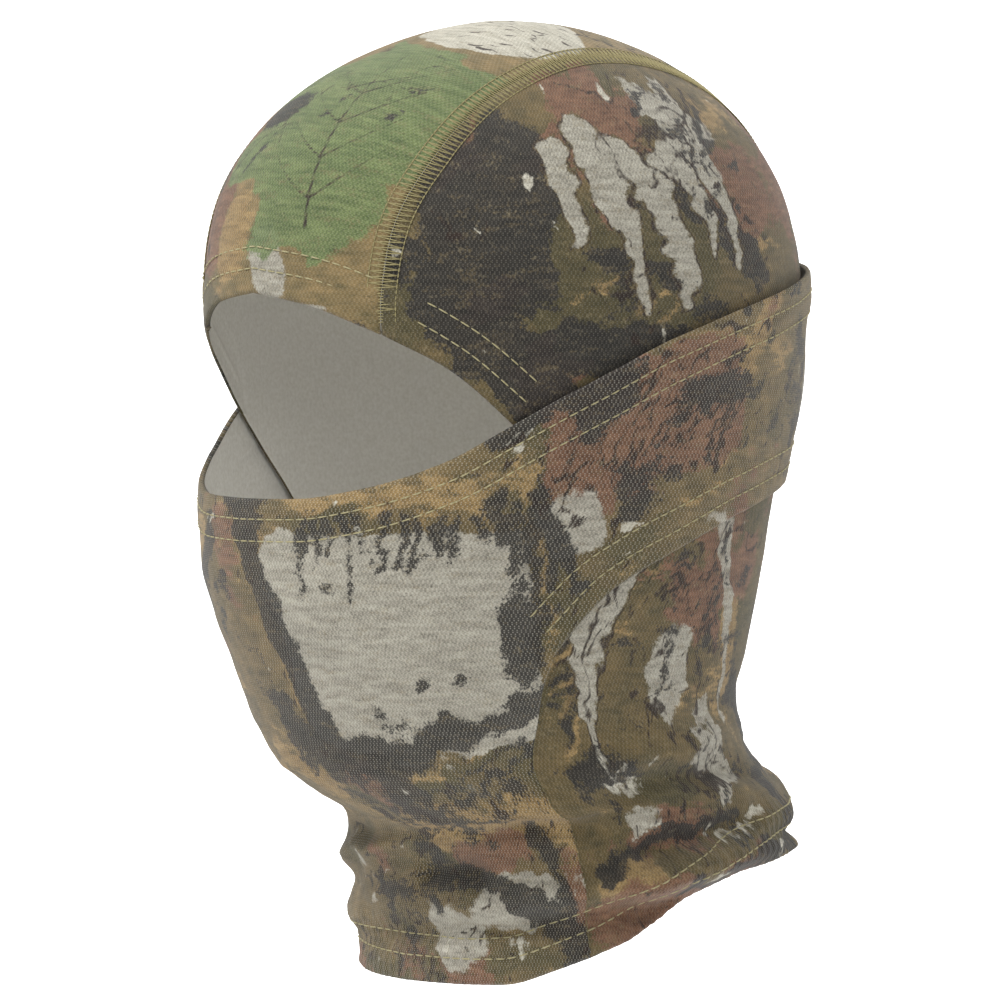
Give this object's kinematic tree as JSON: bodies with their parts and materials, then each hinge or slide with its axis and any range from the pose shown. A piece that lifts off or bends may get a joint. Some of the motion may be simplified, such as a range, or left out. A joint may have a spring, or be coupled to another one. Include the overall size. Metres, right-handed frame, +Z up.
{
  "type": "camouflage face mask",
  "caption": "Pull-on hinged balaclava of printed knit: a crown strip and two side panels make the hood, and a face cover wraps around it and can be pulled down.",
  "frame": {"origin": "Centre of the head cavity at its widest level, about the height of the brow and the tops of the ears.", "axes": "+Z up over the crown, the face looks towards -Y, +X is the wearer's left."},
  "size_m": [0.1633, 0.2048, 0.294],
  "materials": {
    "crown_cloth": "fine quick-dry knit, leaf print",
    "side_cloth": "fine quick-dry knit, bark and leaf print",
    "cover_cloth": "fine quick-dry knit, bark and twig print",
    "thread": "matt polyester sewing thread"
  },
  "bodies": {
    "hood": {"crown_panel": "crown_cloth", "left_side_panel": "side_cloth", "right_side_panel": "side_cloth", "front_neck_panel": "cover_cloth", "left_crown_seam": "thread", "right_crown_seam": "thread", "brow_hem_stitching": "thread", "left_brow_hem_stitching": "thread", "right_brow_hem_stitching": "thread", "left_front_seam": "thread", "right_front_seam": "thread", "bottom_hem_stitching": "thread", "neck_back_seam": "thread"},
    "cover": {"face_cover": "cover_cloth", "cover_top_hem_stitching": "thread", "left_band_hem_stitching": "thread", "right_band_hem_stitching": "thread", "band_back_seam": "thread"}
  },
  "joints": [
    {"name": "cover_hinge", "type": "hinge", "parent": "hood", "child": "cover", "pos_m": [0, 0.101, 0.012], "axis": [1, 0, 0], "range_deg": [0, 12], "deforming": ["front_neck_panel", "left_front_seam", "right_front_seam"]}
  ]
}
